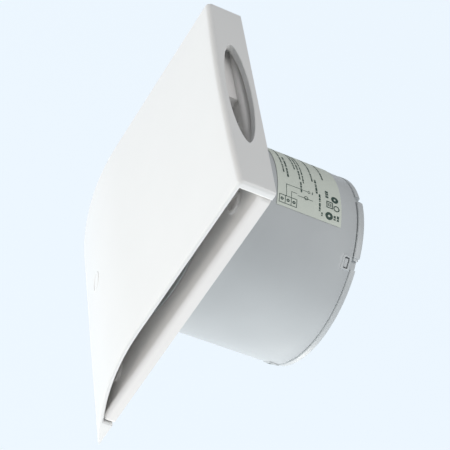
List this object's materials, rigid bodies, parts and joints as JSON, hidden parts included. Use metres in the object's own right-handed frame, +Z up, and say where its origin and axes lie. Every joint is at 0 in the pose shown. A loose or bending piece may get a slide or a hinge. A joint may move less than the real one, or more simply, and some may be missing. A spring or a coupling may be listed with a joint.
{
  "type": "bathroom extractor fan",
  "caption": "Wall extractor fan with a curved push-fit cover, side air slots, a duct spigot with axial impeller and motor, wiring box and a two-leaf backdraught shutter.",
  "frame": {"origin": "where the duct's axis meets the wall plane (the back of the wall frame)", "axes": "+Y along the duct into the wall, +Z up, +X to the right of someone facing the fan from the room"},
  "size_m": [0.141, 0.0971, 0.168],
  "materials": {
    "white_plastic": "satin moulded ABS",
    "duct_plastic": "light grey moulded plastic",
    "fan_plastic": "grey moulded plastic",
    "rubber": "black rubber",
    "label_paper": "printed matt label",
    "steel": "zinc-plated steel",
    "bronze": "sintered bronze",
    "iron": "stacked sheet iron",
    "copper": "enamelled copper winding",
    "nylon": "natural nylon",
    "brown_wire": "brown PVC",
    "blue_wire": "blue PVC"
  },
  "bodies": {
    "housing": {"base_frame": "white_plastic", "terminal_cover": "white_plastic", "duct_spigot": "duct_plastic", "motor_carrier": "duct_plastic", "damper_ring": "duct_plastic", "cable_grommet": "rubber", "rating_label": "label_paper", "motor_front_shell": "steel", "motor_rear_shell": "steel", "damper_pin": "steel", "damper_spring": "steel", "motor_screw_1": "steel", "motor_screw_2": "steel", "motor_screw_3": "steel", "terminal_screw_1": "steel", "terminal_screw_2": "steel", "terminal_screw_3": "steel", "terminal_cover_screw": "steel", "cord_clamp_screw_1": "steel", "cord_clamp_screw_2": "steel", "front_bearing": "bronze", "rear_bearing": "bronze", "stator_core": "iron", "coil_1": "copper", "coil_2": "copper", "coil_3": "copper", "coil_4": "copper", "terminal_block": "nylon", "cord_clamp": "nylon", "lead_wire_brown": "brown_wire", "lead_wire_blue": "blue_wire"},
    "cover": {"front_cover": "white_plastic"},
    "rotor": {"impeller": "fan_plastic", "impeller_nut": "steel", "motor_shaft": "steel", "rotor_core": "iron", "thrust_washer_front": "nylon", "thrust_washer_rear": "nylon"},
    "left_flap": {"damper_flap_left": "duct_plastic"},
    "right_flap": {"damper_flap_right": "duct_plastic"}
  },
  "joints": [
    {"name": "cover_pull", "type": "slide", "parent": "housing", "child": "cover", "axis": [0, -1, 0], "range_m": [0, 0.03]},
    {"name": "impeller_spin", "type": "hinge", "parent": "housing", "child": "rotor", "pos_m": [0, 0.006, 0], "axis": [0, 1, 0], "continuous": true},
    {"name": "left_flap_swing", "type": "hinge", "parent": "housing", "child": "left_flap", "pos_m": [0, 0.073, 0], "axis": [0, 0, -1], "range_deg": [0, 75], "stiffness_Nm_per_rad": 0.0005, "springref_deg": -17.19},
    {"name": "right_flap_swing", "type": "hinge", "parent": "housing", "child": "right_flap", "pos_m": [0, 0.073, 0], "axis": [0, 0, 1], "range_deg": [0, 75], "stiffness_Nm_per_rad": 0.0005, "springref_deg": -17.19}
  ]
}
